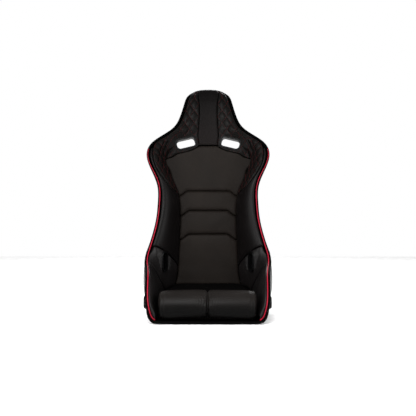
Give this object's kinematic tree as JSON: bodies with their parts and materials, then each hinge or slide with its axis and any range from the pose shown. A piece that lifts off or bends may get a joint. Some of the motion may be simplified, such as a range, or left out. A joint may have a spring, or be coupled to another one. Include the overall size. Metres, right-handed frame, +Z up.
{
  "type": "racing seat",
  "caption": "Fixed-back bucket racing seat with moulded shell, quilted padded cover, harness slots, red piping and lift-out cushion.",
  "frame": {"origin": "on the floor under the middle of the whole seat's bounding box", "axes": "+Z up the seat, -Y the way the driver looks, X across"},
  "size_m": [0.5402, 0.6354, 0.988],
  "materials": {
    "gelcoat": "black gelcoat over glass fibre, glossy",
    "rubber_trim": "matte extruded rubber",
    "red_piping": "crimson vinyl piping, semi-matte",
    "screw_steel": "blackened steel",
    "bezel_plastic": "moulded black plastic, satin",
    "insert_steel": "zinc-plated steel",
    "plate_steel": "black powder coat",
    "hook_tape": "woven black hook and loop tape",
    "foam": "open-cell polyurethane foam",
    "quilted_leatherette": "fine-grained black leatherette with dark red diamond stitching",
    "panel_leatherette": "fine-grained near-black leatherette, soft sheen",
    "bolster_leatherette": "fine-grained black leatherette, soft sheen"
  },
  "bodies": {
    "seat_shell": {"back_bolster_left": "bolster_leatherette", "back_bolster_right": "bolster_leatherette", "back_foam": "foam", "bolster_foam_left": "foam", "bolster_foam_right": "foam", "crotch_strap_bezel": "bezel_plastic", "edge_trim": "rubber_trim", "harness_bezel_front_left": "bezel_plastic", "harness_bezel_front_right": "bezel_plastic", "harness_bezel_rear_left": "bezel_plastic", "harness_bezel_rear_right": "bezel_plastic", "harness_bezel_screws": "screw_steel", "head_foam": "foam", "head_strip": "panel_leatherette", "hip_foam_left": "foam", "hip_foam_right": "foam", "hip_pad_left": "bolster_leatherette", "hip_pad_right": "bolster_leatherette", "lap_bezel_front_left": "bezel_plastic", "lap_bezel_front_right": "bezel_plastic", "lap_bezel_rear_left": "bezel_plastic", "lap_bezel_rear_right": "bezel_plastic", "lap_bezel_screws": "screw_steel", "lumbar_panel_lower": "panel_leatherette", "lumbar_panel_middle": "panel_leatherette", "lumbar_panel_upper": "panel_leatherette", "mount_inserts_left": "insert_steel", "mount_inserts_right": "insert_steel", "mount_plates_left": "plate_steel", "mount_plates_right": "plate_steel", "piping_left": "red_piping", "piping_right": "red_piping", "quilted_panel_left": "quilted_leatherette", "quilted_panel_right": "quilted_leatherette", "shell": "gelcoat", "tape_hooks": "hook_tape", "thigh_bolster_left": "bolster_leatherette", "thigh_bolster_right": "bolster_leatherette", "thigh_foam_left": "foam", "thigh_foam_right": "foam", "upper_back_panel": "panel_leatherette"},
    "seat_cushion": {"seat_cushion_cover": "panel_leatherette", "seat_cushion_foam": "foam", "tape_loops": "hook_tape", "thigh_roll_cover": "bolster_leatherette", "thigh_roll_foam": "foam"}
  },
  "joints": [
    {"name": "cushion_lift", "type": "slide", "parent": "seat_shell", "child": "seat_cushion", "axis": [0, -0.3496, 0.9369], "range_m": [0, 0.28]}
  ]
}
